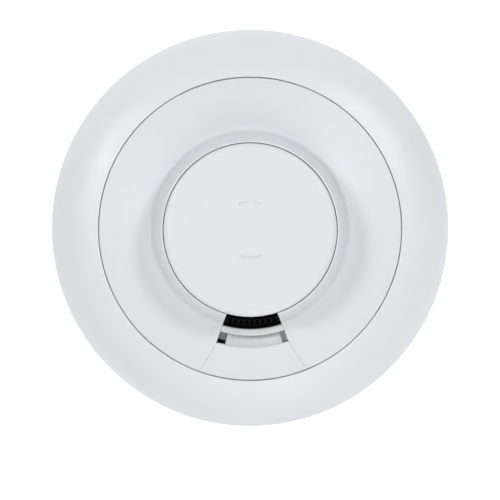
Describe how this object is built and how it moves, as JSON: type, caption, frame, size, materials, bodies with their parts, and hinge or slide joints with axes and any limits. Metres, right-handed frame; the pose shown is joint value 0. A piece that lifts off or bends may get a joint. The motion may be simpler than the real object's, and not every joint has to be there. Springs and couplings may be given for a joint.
{
  "type": "heat detector",
  "caption": "Round ceiling heat detector: convex outer ring, raised nose with a large push-to-test disc, side sensing window and sound slot, on a twist-lock base.",
  "frame": {"origin": "centre of the mounting base's back face, which lies on the ceiling or wall", "axes": "+Z out of the front of the detector, -Y towards the sensing window and sound slot"},
  "size_m": [0.124, 0.124, 0.0397],
  "materials": {
    "shell_white": "fine satin moulded",
    "cover_white": "fine satin moulded",
    "button_white": "fine satin moulded",
    "light_diffuser": "translucent satin",
    "duct_grey": "satin moulded",
    "black_plastic": "matte moulded",
    "housing_white": "matte moulded",
    "base_white": "matte moulded",
    "gasket_foam": "closed-cell foam",
    "spring_steel": "drawn wire",
    "screw_steel": "zinc plated",
    "circuit_board": "solder mask",
    "chip_black": "moulded epoxy",
    "shield_can": "tinned",
    "chip_parts": "fired",
    "antenna_wire": "bare wire",
    "sensor_epoxy": "dipped",
    "lead_wire": "tinned",
    "capacitor_can": "satin can",
    "led_lens": "clear epoxy",
    "switch_black": "moulded",
    "cell_wrap": "shrink film",
    "contact_nickel": "nickel plated",
    "label_paper": "satin film",
    "sounder_black": "matte moulded",
    "piezo_brass": "rolled",
    "piezo_white": "silvered"
  },
  "bodies": {
    "base": {"mounting_base": "base_white"},
    "head": {"housing_ring": "shell_white", "front_cover": "cover_white", "inlet_insert": "cover_white", "light_guide": "light_diffuser", "sound_duct": "duct_grey", "insect_screen": "black_plastic", "sensor_chamber": "black_plastic", "cover_gasket": "gasket_foam", "button_carrier": "black_plastic", "button_spring": "spring_steel", "main_board": "circuit_board", "board_screws": "screw_steel", "housing_screws": "screw_steel", "tact_switch": "switch_black", "microcontroller": "chip_black", "radio_module": "shield_can", "status_led": "led_lens", "capacitor": "capacitor_can", "antenna": "antenna_wire", "board_parts": "chip_parts", "thermistor_bead": "sensor_epoxy", "thermistor_leads": "lead_wire", "tamper_switch": "switch_black", "tamper_plunger": "base_white", "rear_housing": "housing_white", "battery_cover": "housing_white", "battery_cell": "cell_wrap", "contact_positive": "contact_nickel", "contact_negative": "contact_nickel", "rating_label": "label_paper", "sounder_case": "sounder_black", "piezo_plate": "piezo_brass", "piezo_ceramic": "piezo_white"},
    "button": {"test_button": "button_white"},
    "plunger": {"switch_plunger": "switch_black"}
  },
  "joints": [
    {"name": "head_twist", "type": "hinge", "parent": "base", "child": "head", "pos_m": [0, 0, 0], "axis": [0, 0, 1], "range_deg": [0, 20]},
    {"name": "button_press", "type": "slide", "parent": "head", "child": "button", "axis": [0, 0, -1], "range_m": [0, 0.001], "stiffness_N_per_m": 400, "springref_m": -0.003, "deforming": ["button_spring"]},
    {"name": "switch_press", "type": "slide", "parent": "head", "child": "plunger", "axis": [0, 0, -1], "range_m": [0, 0.001]}
  ],
  "couplings": [
    {"joint": "switch_press", "follows": "button_press", "ratio": 1}
  ]
}
